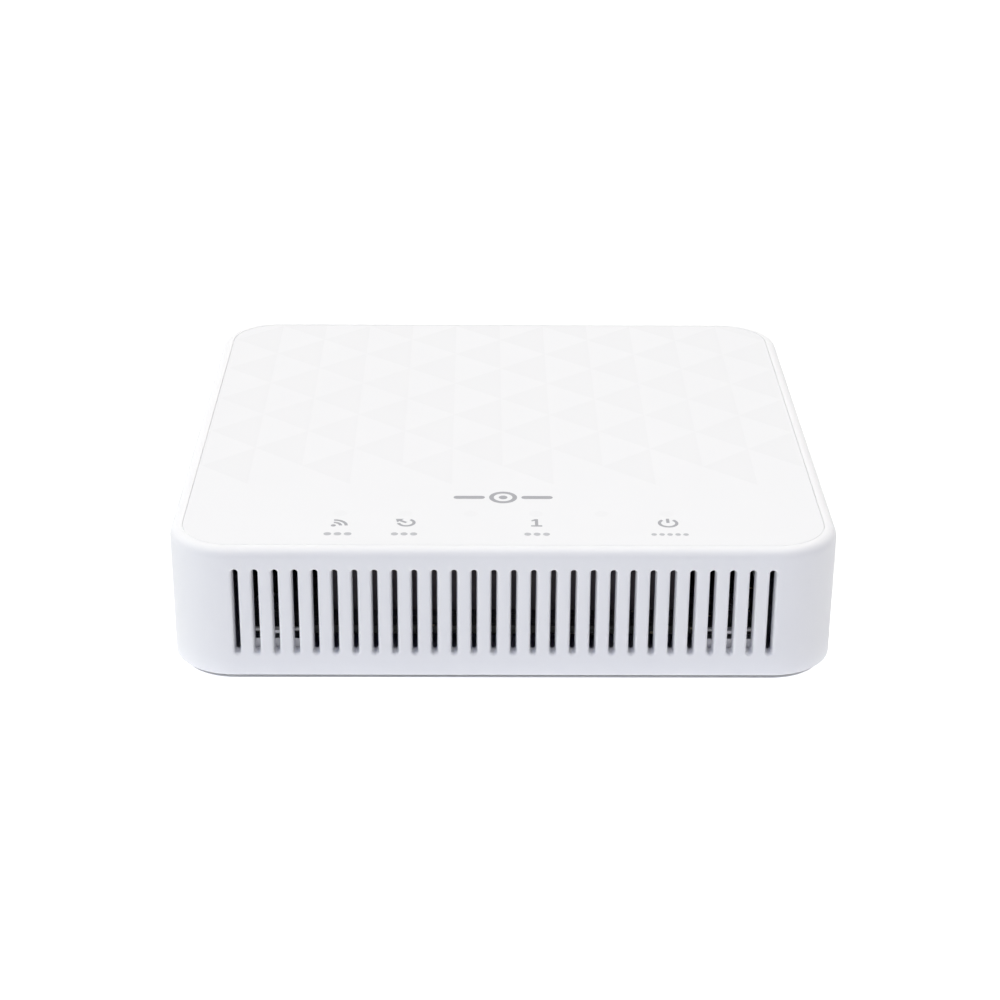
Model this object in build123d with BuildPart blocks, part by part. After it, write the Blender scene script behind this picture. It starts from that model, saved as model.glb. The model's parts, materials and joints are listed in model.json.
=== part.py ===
from build123d import *
import os

# Optical network terminal: a shallow white case around one main board, with one optical port,
# one LAN socket, a DC inlet, a power button and a reset pinhole in its rear wall.
# Millimetres. +Z is up, the vented front wall faces -Y and the ports face +Y. The origin is on
# the surface the feet stand on, under the middle of the bounding box.

# ---------------------------------------------------------------- case
CASE_W = 120.0
CASE_D = 117.5
CASE_H = 26.0
CORNER_R = 11.7
TOP_EDGE_R = 1.8
SKIRT_EDGE_R = 0.2
WALL = 2.2
REAR_PROUD = 2.0  # how far the power button stands out behind the rear wall

FRONT_Y = -(CASE_D + REAR_PROUD) / 2
REAR_Y = FRONT_Y + CASE_D
MID_Y = (FRONT_Y + REAR_Y) / 2
FRONT_INNER_Y = FRONT_Y + WALL
REAR_INNER_Y = REAR_Y - WALL

COVER_Z = 0.8  # underside of the bottom cover
SKIRT_Z = 1.2  # lower edge of the four walls
COVER_T = 2.0
COVER_INSET = 1.1  # the cover's rim stands back under the walls, which leaves a shadow line
DECK_Z = COVER_Z + COVER_T
DECK_INSET = WALL + 0.2

PANEL_T = 1.2
PANEL_Z = CASE_H - PANEL_T
RECESS_INSET = 2.2
PANEL_INSET = 2.23
ROOF_T = 1.4
ROOF_Z = PANEL_Z - ROOF_T  # underside of the roof

# ---------------------------------------------------------------- front vents
VENT_COUNT = 28
VENT_PITCH = 3.523
VENT_W = 1.3
VENT_Z0 = 5.4
VENT_Z1 = 22.15
VENT_DRAFT = 6.0  # each slot narrows inwards, so that it leaves the mould
VENT_EDGE_R = 0.45

# ---------------------------------------------------------------- snap tabs behind the front wall
TAB_X = 11.5 * VENT_PITCH  # behind the third slot from each end
TAB_W = 9.5
TAB_T = 1.3
TAB_GAP = 0.2
TAB_SILL_Z = 7.4
TAB_SILL_DROP = 1.2
TAB_POST_W = 0.7
TAB_BAR_Z = 8.5
TAB_BAR_T = 0.5
TAB_TIP_Z = 9.05
NOSE_W = 3.0  # the nose stands out from the bar, towards the front wall
NOSE_GAP = 0.1
CATCH_W = 0.8  # two catches on the wall hold the nose from below, one behind each neighbouring rib
CATCH_H = 0.5
CATCH_REACH = 0.9
CATCH_GAP = 0.1

# ---------------------------------------------------------------- fasteners, feet, label
CASE_SCREW_X = 52.5
CASE_SCREW_Y = 40.0
CASE_BOSS_R = 3.4
CASE_BOSS_Z = 3.9
CASE_SCREW_R = 1.25
CASE_SCREW_HEAD_R = 2.6
CASE_SCREW_SEAT_Z = 2.7
BOARD_SCREW_SPOTS = [(-43.0, -46.0), (43.0, -46.0), (-43.0, 30.0), (43.0, 30.0)]
BOARD_BOSS_R = 3.0
BOARD_SCREW_R = 1.2
BOARD_SCREW_HEAD_R = 2.4

FOOT_R = 5.0
FOOT_POCKET_DEPTH = 0.6
FOOT_SPOTS = {
    "foot_front_left": (-45.0, -44.0),
    "foot_front_right": (45.0, -44.0),
    "foot_rear_left": (-42.0, 46.0),
    "foot_rear_right": (42.0, 46.0),
}
KEYHOLE_SPACING = 80.0
KEYHOLE_Y = 4.0
KEYHOLE_ENTRY_R = 4.0
KEYHOLE_SLOT_R = 2.1
KEYHOLE_RUN = 8.0
LABEL_W = 54.0
LABEL_D = 32.0
LABEL_Y = 30.0
LABEL_T = 0.15
LABEL_RECESS = 0.25

# ---------------------------------------------------------------- main board
BOARD_W = 95.0
BOARD_FRONT_Y = -54.0
BOARD_REAR_Y = REAR_INNER_Y - 0.6
BOARD_Z = 6.6
BOARD_T = 1.6
TOP_Z = BOARD_Z + BOARD_T  # the face the components stand on
SOLDER_GAP = 0.02

# ---------------------------------------------------------------- indicators
LED_COUNT = 6
LED_PITCH = 11.85
LED_Y = MID_Y - 43.2
LED_H = 0.6
GUIDE_R = 1.3
GUIDE_HOLE_R = 1.6
GUIDE_BAR_Z = 19.6
GUIDE_BAR_T = 1.5
GUIDE_BAR_D = 4.4
POCKET_R = 1.5
POCKET_DEPTH = 0.8
PEG_X = 23.7
PEG_R = 0.9

# ---------------------------------------------------------------- rear row, left to right from behind
BUTTON_X = 41.0
BUTTON_Z = 12.9
BUTTON_R = 3.5
BUTTON_TRAVEL = 2.5
DC_X = 29.0
DC_Z = 14.7
DC_BARREL_R = 3.15
DC_PIN_R = 1.05
RESET_X = 17.0
RESET_Z = 11.2
RESET_TRAVEL = 0.25
PINHOLE_R = 1.0
LAN_X = 1.0
OPTICAL_X = -28.0
OPTICAL_Z = 13.05

ON_TOP = (Align.CENTER, Align.CENTER, Align.MIN)
MIN_Y = (Align.CENTER, Align.MIN, Align.MIN)
FACING_REAR = Plane.XZ  # sketches on this plane see +X to the right and +Z up


def case_outline(height, inset):
    """The case's plan, pulled in all round by inset, at a height."""
    with BuildSketch(Plane.XY.offset(height)) as outline:
        with Locations((0, MID_Y)):
            RectangleRounded(CASE_W - 2 * inset, CASE_D - 2 * inset, CORNER_R - inset)
    return outline.sketch


def wall_plane(y):
    """An upright plane across the case at a depth y, looking along +Y when extruded backwards."""
    return FACING_REAR.offset(-y)


def centred(count, pitch):
    """Evenly spaced places about zero."""
    return [(i - (count - 1) / 2) * pitch for i in range(count)]


VENT_XS = centred(VENT_COUNT, VENT_PITCH)
LED_XS = centred(LED_COUNT, LED_PITCH)

# ================================================================ upper housing
DC_HOLE_R = 4.2
BUTTON_HOLE_R = BUTTON_R + 0.25
LAN_OPENING_W = 16.6
LAN_OPENING_H = 14.1
LAN_W = 16.0
LAN_H = 13.5
OPTICAL_OPENING_W = 13.6
OPTICAL_OPENING_Z0 = 8.0
OPTICAL_OPENING_Z1 = 19.7
CASE_SCREW_DEPTH = 12.0

with BuildPart() as upper_housing:
    extrude(case_outline(SKIRT_Z, 0), amount=CASE_H - SKIRT_Z)
    fillet(upper_housing.faces().sort_by(Axis.Z)[-1].edges(), radius=TOP_EDGE_R)
    fillet(upper_housing.faces().sort_by(Axis.Z)[0].edges(), radius=SKIRT_EDGE_R)
    extrude(case_outline(SKIRT_Z, WALL), amount=ROOF_Z - SKIRT_Z, mode=Mode.SUBTRACT)
    extrude(case_outline(PANEL_Z, RECESS_INSET), amount=PANEL_T, mode=Mode.SUBTRACT)

    # vent slots with softened outer edges
    with BuildSketch(wall_plane(FRONT_Y)):
        with Locations(*[(x, (VENT_Z0 + VENT_Z1) / 2) for x in VENT_XS]):
            SlotOverall(VENT_Z1 - VENT_Z0, VENT_W, rotation=90)
    extrude(amount=-WALL, taper=VENT_DRAFT, mode=Mode.SUBTRACT)
    front_edges = upper_housing.edges().filter_by_position(Axis.Y, FRONT_Y - 0.01, FRONT_Y + 0.01)
    slot_reach = VENT_XS[-1] + VENT_W / 2 + 0.01
    slot_edges = front_edges.filter_by_position(Axis.X, -slot_reach, slot_reach)
    fillet(slot_edges.filter_by_position(Axis.Z, VENT_Z0 - 0.01, VENT_Z1 + 0.01), radius=VENT_EDGE_R)

    # holes through the roof for the light guide's tips
    with BuildSketch(Plane.XY.offset(ROOF_Z)):
        with Locations(*[(x, LED_Y) for x in LED_XS]):
            Circle(GUIDE_HOLE_R)
    extrude(amount=ROOF_T, mode=Mode.SUBTRACT)

    # rear wall openings
    with BuildSketch(wall_plane(REAR_Y)):
        with Locations((BUTTON_X, BUTTON_Z)):
            Circle(BUTTON_HOLE_R)
        with Locations((DC_X, DC_Z)):
            Circle(DC_HOLE_R)
        with Locations((RESET_X, RESET_Z)):
            Circle(PINHOLE_R)
        with Locations((LAN_X, TOP_Z + LAN_H / 2)):
            RectangleRounded(LAN_OPENING_W, LAN_OPENING_H, 0.4)
        with Locations((OPTICAL_X, (OPTICAL_OPENING_Z0 + OPTICAL_OPENING_Z1) / 2)):
            RectangleRounded(OPTICAL_OPENING_W, OPTICAL_OPENING_Z1 - OPTICAL_OPENING_Z0, 0.4)
    extrude(amount=WALL, mode=Mode.SUBTRACT)

    # bosses for the case screws, pegs for the light guide, catches for the snap tabs
    with Locations(*[(side * CASE_SCREW_X, CASE_SCREW_Y, CASE_BOSS_Z) for side in (-1, 1)]):
        Cylinder(CASE_BOSS_R, ROOF_Z - CASE_BOSS_Z, align=ON_TOP)
        Cylinder(CASE_SCREW_R, CASE_SCREW_DEPTH, align=ON_TOP, mode=Mode.SUBTRACT)
    with Locations(*[(side * PEG_X, LED_Y, GUIDE_BAR_Z - 0.4) for side in (-1, 1)]):
        Cylinder(PEG_R, ROOF_Z - GUIDE_BAR_Z + 0.4, align=ON_TOP)
    catch_offset = (NOSE_W - CATCH_W) / 2
    catch_z = TAB_BAR_Z - CATCH_GAP - CATCH_H
    for side in (-1, 1):
        for end in (-1, 1):
            with Locations((side * TAB_X + end * catch_offset, FRONT_INNER_Y, catch_z)):
                Box(CATCH_W, CATCH_REACH, CATCH_H, align=MIN_Y)
upper_housing.part.label = "upper_housing"
export_step(upper_housing.part, "parts/upper_housing.step")

# ================================================================ top panel
PANEL_EDGE = 0.12

with BuildPart() as top_panel:
    extrude(case_outline(PANEL_Z, PANEL_INSET), amount=PANEL_T)
    chamfer(top_panel.faces().sort_by(Axis.Z)[-1].edges(), length=PANEL_EDGE)
    with BuildSketch(Plane.XY.offset(PANEL_Z)):
        with Locations(*[(x, LED_Y) for x in LED_XS]):
            Circle(POCKET_R)
    extrude(amount=POCKET_DEPTH, mode=Mode.SUBTRACT)
top_panel.part.label = "top_panel"
export_step(top_panel.part, "parts/top_panel.step")

# ================================================================ bottom cover
VENT_FIELD_ROWS = 9
VENT_FIELD_PITCH = 3.6
VENT_FIELD_SLOT_L = 24.0
VENT_FIELD_SLOT_W = 1.6
VENT_FIELD_X = 15.0
VENT_FIELD_Y = -14.0
CASE_SLEEVE_TOP_Z = CASE_BOSS_Z - 0.2

with BuildPart() as bottom_cover:
    extrude(case_outline(COVER_Z, COVER_INSET), amount=SKIRT_Z - COVER_Z)
    extrude(case_outline(COVER_Z, DECK_INSET), amount=COVER_T)
    # standing features: board bosses and case screw sleeves
    with Locations(*[(x, y, DECK_Z) for x, y in BOARD_SCREW_SPOTS]):
        Cylinder(BOARD_BOSS_R, BOARD_Z - DECK_Z, align=ON_TOP)
        Cylinder(BOARD_SCREW_R + 0.05, BOARD_Z - DECK_Z, align=ON_TOP, mode=Mode.SUBTRACT)
    with Locations(*[(side * CASE_SCREW_X, CASE_SCREW_Y, COVER_Z) for side in (-1, 1)]):
        Cylinder(CASE_BOSS_R, CASE_SLEEVE_TOP_Z - COVER_Z, align=ON_TOP)
        Cylinder(CASE_SCREW_R + 0.2, CASE_SLEEVE_TOP_Z - COVER_Z, align=ON_TOP, mode=Mode.SUBTRACT)
        Cylinder(
            CASE_SCREW_HEAD_R + 0.3, CASE_SCREW_SEAT_Z - COVER_Z, align=ON_TOP, mode=Mode.SUBTRACT
        )
    # two snap tabs: a broad root with a sloping sill, two posts, and a bar with a nose
    tab_y = FRONT_INNER_Y + TAB_GAP
    for side in (-1, 1):
        with BuildSketch(Plane.YZ.offset(side * TAB_X)):
            with BuildLine():
                Polyline(
                    (tab_y, DECK_Z),
                    (tab_y, TAB_SILL_Z),
                    (tab_y + TAB_T, TAB_SILL_Z - TAB_SILL_DROP),
                    (tab_y + TAB_T, DECK_Z),
                    close=True,
                )
            make_face()
        extrude(amount=TAB_W / 2, both=True)
        for end in (-1, 1):
            with Locations((side * TAB_X + end * (TAB_W - TAB_POST_W) / 2, tab_y, DECK_Z)):
                Box(TAB_POST_W, TAB_T, TAB_TIP_Z - DECK_Z, align=MIN_Y)
        with Locations((side * TAB_X, tab_y + TAB_T - TAB_BAR_T, TAB_BAR_Z)):
            Box(TAB_W, TAB_BAR_T, TAB_TIP_Z - TAB_BAR_Z, align=MIN_Y)
        with Locations((side * TAB_X, FRONT_INNER_Y + NOSE_GAP, TAB_BAR_Z)):
            Box(NOSE_W, TAB_GAP + TAB_T - TAB_BAR_T - NOSE_GAP, TAB_TIP_Z - TAB_BAR_Z, align=MIN_Y)
    # keyholes for hanging on two wall screws
    for side in (-1, 1):
        with BuildSketch(Plane.XY.offset(COVER_Z)):
            with Locations((side * KEYHOLE_SPACING / 2, KEYHOLE_Y)):
                Circle(KEYHOLE_ENTRY_R)
            with Locations((side * KEYHOLE_SPACING / 2, KEYHOLE_Y + KEYHOLE_RUN / 2)):
                SlotOverall(KEYHOLE_RUN + 2 * KEYHOLE_SLOT_R, 2 * KEYHOLE_SLOT_R, rotation=90)
        extrude(amount=COVER_T, mode=Mode.SUBTRACT)
    # cooling slots under the processor
    with BuildSketch(Plane.XY.offset(COVER_Z)):
        for side in (-1, 1):
            with Locations((side * VENT_FIELD_X, VENT_FIELD_Y)):
                with GridLocations(0, VENT_FIELD_PITCH, 1, VENT_FIELD_ROWS):
                    SlotOverall(VENT_FIELD_SLOT_L, VENT_FIELD_SLOT_W)
    extrude(amount=COVER_T, mode=Mode.SUBTRACT)
    # pockets for the feet and the label
    with BuildSketch(Plane.XY.offset(COVER_Z)):
        with Locations(*FOOT_SPOTS.values()):
            Circle(FOOT_R + 0.15)
    extrude(amount=FOOT_POCKET_DEPTH, mode=Mode.SUBTRACT)
    with BuildSketch(Plane.XY.offset(COVER_Z)):
        with Locations((0, LABEL_Y)):
            RectangleRounded(LABEL_W + 0.6, LABEL_D + 0.6, 1.5)
    extrude(amount=LABEL_RECESS, mode=Mode.SUBTRACT)
bottom_cover.part.label = "bottom_cover"
export_step(bottom_cover.part, "parts/bottom_cover.step")

# ================================================================ feet, label, case screws
FOOT_TOP_Z = COVER_Z + FOOT_POCKET_DEPTH - 0.05
FOOT_EDGE = 0.3

for foot_name, (foot_x, foot_y) in FOOT_SPOTS.items():
    with BuildPart() as foot:
        with Locations((foot_x, foot_y, 0)):
            Cylinder(FOOT_R, FOOT_TOP_Z, align=ON_TOP)
        chamfer(foot.edges().group_by(Axis.Z)[0], length=FOOT_EDGE)
    foot.part.label = foot_name
    export_step(foot.part, f"parts/{foot_name}.step")

with BuildPart() as rating_label:
    with BuildSketch(Plane.XY.offset(COVER_Z + LABEL_RECESS - LABEL_T)):
        with Locations((0, LABEL_Y)):
            RectangleRounded(LABEL_W, LABEL_D, 1.2)
    extrude(amount=LABEL_T)
rating_label.part.label = "rating_label"
export_step(rating_label.part, "parts/rating_label.step")

CASE_SCREW_HEAD_T = 1.6
CASE_SCREW_L = 11.0
DRIVE_W = 2.2
DRIVE_SLOT = 0.6
DRIVE_DEPTH = 0.8

with BuildPart() as case_screws:
    with Locations(*[(side * CASE_SCREW_X, CASE_SCREW_Y, CASE_SCREW_SEAT_Z) for side in (-1, 1)]):
        Cylinder(CASE_SCREW_R - 0.03, CASE_SCREW_L, align=ON_TOP)
    head_z = CASE_SCREW_SEAT_Z - CASE_SCREW_HEAD_T
    with Locations(*[(side * CASE_SCREW_X, CASE_SCREW_Y, head_z) for side in (-1, 1)]):
        Cylinder(CASE_SCREW_HEAD_R, CASE_SCREW_HEAD_T, align=ON_TOP)
        Box(DRIVE_W, DRIVE_SLOT, DRIVE_DEPTH, align=ON_TOP, mode=Mode.SUBTRACT)
        Box(DRIVE_SLOT, DRIVE_W, DRIVE_DEPTH, align=ON_TOP, mode=Mode.SUBTRACT)
case_screws.part.label = "case_screws"
export_step(case_screws.part, "parts/case_screws.step")

# ================================================================ main board and its screws
HEATSINK_X = 2.0
HEATSINK_Y = -4.0
HEATSINK_W = 34.0
PIN_SPREAD = 13.5
HEATSINK_PIN_SPOTS = [
    (HEATSINK_X - PIN_SPREAD, HEATSINK_Y + PIN_SPREAD),
    (HEATSINK_X + PIN_SPREAD, HEATSINK_Y - PIN_SPREAD),
]
HEATSINK_PIN_R = 1.4
BOARD_D = BOARD_REAR_Y - BOARD_FRONT_Y
BOARD_MID_Y = (BOARD_REAR_Y + BOARD_FRONT_Y) / 2

with BuildPart() as main_board:
    with BuildSketch(Plane.XY.offset(BOARD_Z)):
        with Locations((0, BOARD_MID_Y)):
            RectangleRounded(BOARD_W, BOARD_D, 3.0)
        with Locations(*BOARD_SCREW_SPOTS):
            Circle(BOARD_SCREW_R + 0.3, mode=Mode.SUBTRACT)
        with Locations(*HEATSINK_PIN_SPOTS):
            Circle(HEATSINK_PIN_R + 0.1, mode=Mode.SUBTRACT)
    extrude(amount=BOARD_T)
main_board.part.label = "main_board"
export_step(main_board.part, "parts/main_board.step")

BOARD_SCREW_HEAD_T = 1.5
BOARD_SCREW_GRIP = 3.4

with BuildPart() as board_screws:
    with Locations(*[(x, y, TOP_Z) for x, y in BOARD_SCREW_SPOTS]):
        Cylinder(BOARD_SCREW_HEAD_R, BOARD_SCREW_HEAD_T, align=ON_TOP)
    with Locations(*[(x, y, BOARD_Z - BOARD_SCREW_GRIP) for x, y in BOARD_SCREW_SPOTS]):
        Cylinder(BOARD_SCREW_R, BOARD_SCREW_GRIP + BOARD_T, align=ON_TOP)
    with Locations(*[(x, y, TOP_Z + BOARD_SCREW_HEAD_T - DRIVE_DEPTH) for x, y in BOARD_SCREW_SPOTS]):
        Box(DRIVE_W, DRIVE_SLOT, DRIVE_DEPTH, align=ON_TOP, mode=Mode.SUBTRACT)
        Box(DRIVE_SLOT, DRIVE_W, DRIVE_DEPTH, align=ON_TOP, mode=Mode.SUBTRACT)
board_screws.part.label = "board_screws"
export_step(board_screws.part, "parts/board_screws.step")

# ================================================================ processor, pad and heatsink
SOC_W = 17.0
SOC_T = 1.3
PAD_T = 0.8
HEATSINK_BASE_T = 2.0
HEATSINK_TOP_Z = 20.5
FIN_COUNT = 9
FIN_T = 1.1
HEATSINK_Z = TOP_Z + SOC_T + PAD_T

with BuildPart() as network_processor:
    with Locations((HEATSINK_X, HEATSINK_Y, TOP_Z)):
        Box(SOC_W, SOC_W, SOC_T, align=ON_TOP)
    chamfer(network_processor.faces().sort_by(Axis.Z)[-1].edges(), length=0.2)
network_processor.part.label = "network_processor"
export_step(network_processor.part, "parts/network_processor.step")

with BuildPart() as thermal_pad:
    with Locations((HEATSINK_X, HEATSINK_Y, TOP_Z + SOC_T)):
        Box(SOC_W - 1, SOC_W - 1, PAD_T, align=ON_TOP)
thermal_pad.part.label = "thermal_pad"
export_step(thermal_pad.part, "parts/thermal_pad.step")

FIN_PITCH = (HEATSINK_W - FIN_T) / (FIN_COUNT - 1)
FIN_H = HEATSINK_TOP_Z - HEATSINK_Z - HEATSINK_BASE_T
PIN_POCKET = 7.0

with BuildPart() as heatsink:
    with Locations((HEATSINK_X, HEATSINK_Y, HEATSINK_Z)):
        Box(HEATSINK_W, HEATSINK_W, HEATSINK_BASE_T, align=ON_TOP)
    with Locations(
        *[(HEATSINK_X + x, HEATSINK_Y, HEATSINK_Z + HEATSINK_BASE_T) for x in centred(FIN_COUNT, FIN_PITCH)]
    ):
        Box(FIN_T, HEATSINK_W, FIN_H, align=ON_TOP)
    # two corners stay free of fins for the pins that hold it down
    with Locations(*[(x, y, HEATSINK_Z + HEATSINK_BASE_T) for x, y in HEATSINK_PIN_SPOTS]):
        Box(PIN_POCKET, PIN_POCKET, FIN_H, align=ON_TOP, mode=Mode.SUBTRACT)
    with Locations(*[(x, y, HEATSINK_Z) for x, y in HEATSINK_PIN_SPOTS]):
        Cylinder(HEATSINK_PIN_R + 0.1, HEATSINK_BASE_T, align=ON_TOP, mode=Mode.SUBTRACT)
heatsink.part.label = "heatsink"
export_step(heatsink.part, "parts/heatsink.step")

PIN_HEAD_R = 2.4
PIN_HEAD_T = 1.4
PIN_BARB_R = 1.9
PIN_BARB_T = 1.0

with BuildPart() as heatsink_pins:
    pin_top_z = HEATSINK_Z + HEATSINK_BASE_T
    with Locations(*[(x, y, BOARD_Z - PIN_BARB_T) for x, y in HEATSINK_PIN_SPOTS]):
        Cylinder(HEATSINK_PIN_R, pin_top_z - BOARD_Z + PIN_BARB_T, align=ON_TOP)
        Cylinder(PIN_BARB_R, PIN_BARB_T - SOLDER_GAP, align=ON_TOP)
    with Locations(*[(x, y, pin_top_z) for x, y in HEATSINK_PIN_SPOTS]):
        Cylinder(PIN_HEAD_R, PIN_HEAD_T, align=ON_TOP)
heatsink_pins.part.label = "heatsink_pins"
export_step(heatsink_pins.part, "parts/heatsink_pins.step")

# ================================================================ flat chips and small parts
# name: (x, y, width, depth, height)
FLAT_PARTS = {
    "memory_chip": (29.0, -6.0, 10.5, 13.0, 1.1),
    "flash_chip": (-24.0, -28.0, 8.0, 6.0, 1.0),
    "clock_crystal": (-19.5, 13.0, 5.0, 3.2, 1.1),
    "line_transformer": (1.0, 26.0, 12.8, 9.5, 5.6),
    "power_regulator": (41.0, 14.0, 6.0, 6.0, 1.5),
}
PART_EDGE = 0.15

for part_name, (x, y, width, depth, height) in FLAT_PARTS.items():
    with BuildPart() as flat_part:
        with Locations((x, y, TOP_Z)):
            Box(width, depth, height, align=ON_TOP)
        chamfer(flat_part.faces().sort_by(Axis.Z)[-1].edges(), length=PART_EDGE)
    flat_part.part.label = part_name
    export_step(flat_part.part, f"parts/{part_name}.step")

INDUCTOR_W = 8.0
INDUCTOR_H = 4.2
INDUCTOR_X = 30.0
INDUCTOR_Y = 19.0

with BuildPart() as power_inductor:
    with BuildSketch(Plane.XY.offset(TOP_Z)):
        with Locations((INDUCTOR_X, INDUCTOR_Y)):
            RectangleRounded(INDUCTOR_W, INDUCTOR_W, 1.6)
    extrude(amount=INDUCTOR_H)
    chamfer(power_inductor.faces().sort_by(Axis.Z)[-1].edges(), length=0.4)
power_inductor.part.label = "power_inductor"
export_step(power_inductor.part, "parts/power_inductor.step")

# name: (x, y, radius, height)
CAPACITORS = {
    "input_capacitor": (31.0, 33.0, 4.0, 10.0),
    "output_capacitor": (18.0, 30.0, 3.15, 8.0),
}
CAPACITOR_EDGE_R = 0.5

for capacitor_name, (x, y, radius, height) in CAPACITORS.items():
    with BuildPart() as capacitor:
        with Locations((x, y, TOP_Z)):
            Cylinder(radius, height, align=ON_TOP)
        fillet(capacitor.edges().group_by(Axis.Z)[-1], radius=CAPACITOR_EDGE_R)
    capacitor.part.label = capacitor_name
    export_step(capacitor.part, f"parts/{capacitor_name}.step")

# rows of chip resistors and capacitors beside the processor and the memory
PASSIVE_SIZE = (1.6, 0.8, 0.6)
PASSIVE_ROW = centred(6, 2.4)

with BuildPart() as small_passives:
    row_spots = [(HEATSINK_X + 19.6, HEATSINK_Y + step + 18) for step in PASSIVE_ROW]
    row_spots += [(HEATSINK_X - 22, HEATSINK_Y + step) for step in PASSIVE_ROW]
    row_spots += [(step * 1.4 - 2, -31) for step in PASSIVE_ROW]
    with Locations(*[(x, y, TOP_Z) for x, y in row_spots]):
        Box(*PASSIVE_SIZE, align=ON_TOP)
small_passives.part.label = "small_passives"
export_step(small_passives.part, "parts/small_passives.step")

# ================================================================ indicators
for number, led_x in enumerate(LED_XS, start=1):
    with BuildPart() as status_led:
        with Locations((led_x, LED_Y, TOP_Z)):
            Box(1.6, 0.8, LED_H, align=ON_TOP)
    status_led.part.label = f"status_led_{number}"
    export_step(status_led.part, f"parts/status_led_{number}.step")

GUIDE_Z = TOP_Z + LED_H + 0.4
GUIDE_TOP_Z = PANEL_Z + POCKET_DEPTH - 0.1
GUIDE_BAR_W = (LED_COUNT - 1) * LED_PITCH + 2 * GUIDE_R

with BuildPart() as light_guide:
    with Locations(*[(x, LED_Y, GUIDE_Z) for x in LED_XS]):
        Cylinder(GUIDE_R, GUIDE_TOP_Z - GUIDE_Z, align=ON_TOP)
    with Locations((0, LED_Y, GUIDE_BAR_Z)):
        Box(GUIDE_BAR_W, GUIDE_BAR_D, GUIDE_BAR_T, align=ON_TOP)
    with Locations(*[(side * PEG_X, LED_Y, GUIDE_BAR_Z) for side in (-1, 1)]):
        Cylinder(PEG_R + 0.1, GUIDE_BAR_T, align=ON_TOP, mode=Mode.SUBTRACT)
light_guide.part.label = "light_guide"
export_step(light_guide.part, "parts/light_guide.step")

SHADE_D = 7.0
SHADE_W = (LED_COUNT - 1) * LED_PITCH + SHADE_D
SHADE_BORE_R = 1.7
SHADE_TOP_Z = GUIDE_BAR_Z - 0.6

with BuildPart() as light_shade:
    with Locations((0, LED_Y, TOP_Z + SOLDER_GAP)):
        Box(SHADE_W, SHADE_D, SHADE_TOP_Z - TOP_Z - SOLDER_GAP, align=ON_TOP)
    with Locations(*[(x, LED_Y, TOP_Z) for x in LED_XS]):
        Cylinder(SHADE_BORE_R, SHADE_TOP_Z - TOP_Z, align=ON_TOP, mode=Mode.SUBTRACT)
light_shade.part.label = "light_shade"
export_step(light_shade.part, "parts/light_shade.step")

# ================================================================ LAN jack
LAN_FRONT_Y = REAR_Y - 0.3
LAN_D = 20.6
LAN_SHEET = 0.25
LAN_CORE_W = LAN_W - 2 * LAN_SHEET - 0.1
LAN_CORE_H = LAN_H - LAN_SHEET - 0.1
SOCKET_W = 11.7
SOCKET_Z0 = 10.7
SOCKET_Z1 = 17.8
SOCKET_D = 13.0
LATCH_W = 6.2
LATCH_H = 1.4
CONTACT_COUNT = 8
CONTACT_PITCH = 1.02
CONTACT_W = 0.4
CONTACT_T = 0.3
CONTACT_DROP_Z = 15.1

with BuildPart() as lan_jack_housing:
    with Locations((LAN_X, LAN_FRONT_Y - LAN_D + LAN_SHEET + 0.05, TOP_Z)):
        Box(LAN_CORE_W, LAN_D - LAN_SHEET - 0.05, LAN_CORE_H, align=MIN_Y)
    with Locations((LAN_X, LAN_FRONT_Y - SOCKET_D, SOCKET_Z0)):
        Box(SOCKET_W, SOCKET_D, SOCKET_Z1 - SOCKET_Z0, align=MIN_Y, mode=Mode.SUBTRACT)
    with Locations((LAN_X, LAN_FRONT_Y - SOCKET_D, SOCKET_Z0 - LATCH_H)):
        Box(LATCH_W, SOCKET_D, LATCH_H, align=MIN_Y, mode=Mode.SUBTRACT)
lan_jack_housing.part.label = "lan_jack_housing"
export_step(lan_jack_housing.part, "parts/lan_jack_housing.step")

with BuildPart() as lan_jack_shield:
    with Locations((LAN_X, LAN_FRONT_Y - LAN_D, TOP_Z)):
        Box(LAN_W, LAN_D, LAN_H, align=MIN_Y)
    with Locations((LAN_X, LAN_FRONT_Y - LAN_D + LAN_SHEET, TOP_Z)):
        Box(LAN_W - 2 * LAN_SHEET, LAN_D - LAN_SHEET, LAN_H - LAN_SHEET, align=MIN_Y, mode=Mode.SUBTRACT)
lan_jack_shield.part.label = "lan_jack_shield"
export_step(lan_jack_shield.part, "parts/lan_jack_shield.step")

with BuildPart() as lan_jack_contacts:
    for step in centred(CONTACT_COUNT, CONTACT_PITCH):
        with BuildSketch(Plane.YZ.offset(LAN_X + step - CONTACT_W / 2)):
            with BuildLine():
                Polyline(
                    (LAN_FRONT_Y - 1.4, SOCKET_Z1 - 0.1),
                    (LAN_FRONT_Y - 1.4, SOCKET_Z1 - 0.1 - CONTACT_T),
                    (LAN_FRONT_Y - 9.0, CONTACT_DROP_Z),
                    (LAN_FRONT_Y - 11.0, CONTACT_DROP_Z),
                    (LAN_FRONT_Y - 11.0, CONTACT_DROP_Z + CONTACT_T),
                    (LAN_FRONT_Y - 8.9, CONTACT_DROP_Z + CONTACT_T),
                    close=True,
                )
            make_face()
        extrude(amount=CONTACT_W)
lan_jack_contacts.part.label = "lan_jack_contacts"
export_step(lan_jack_contacts.part, "parts/lan_jack_contacts.step")

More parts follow.
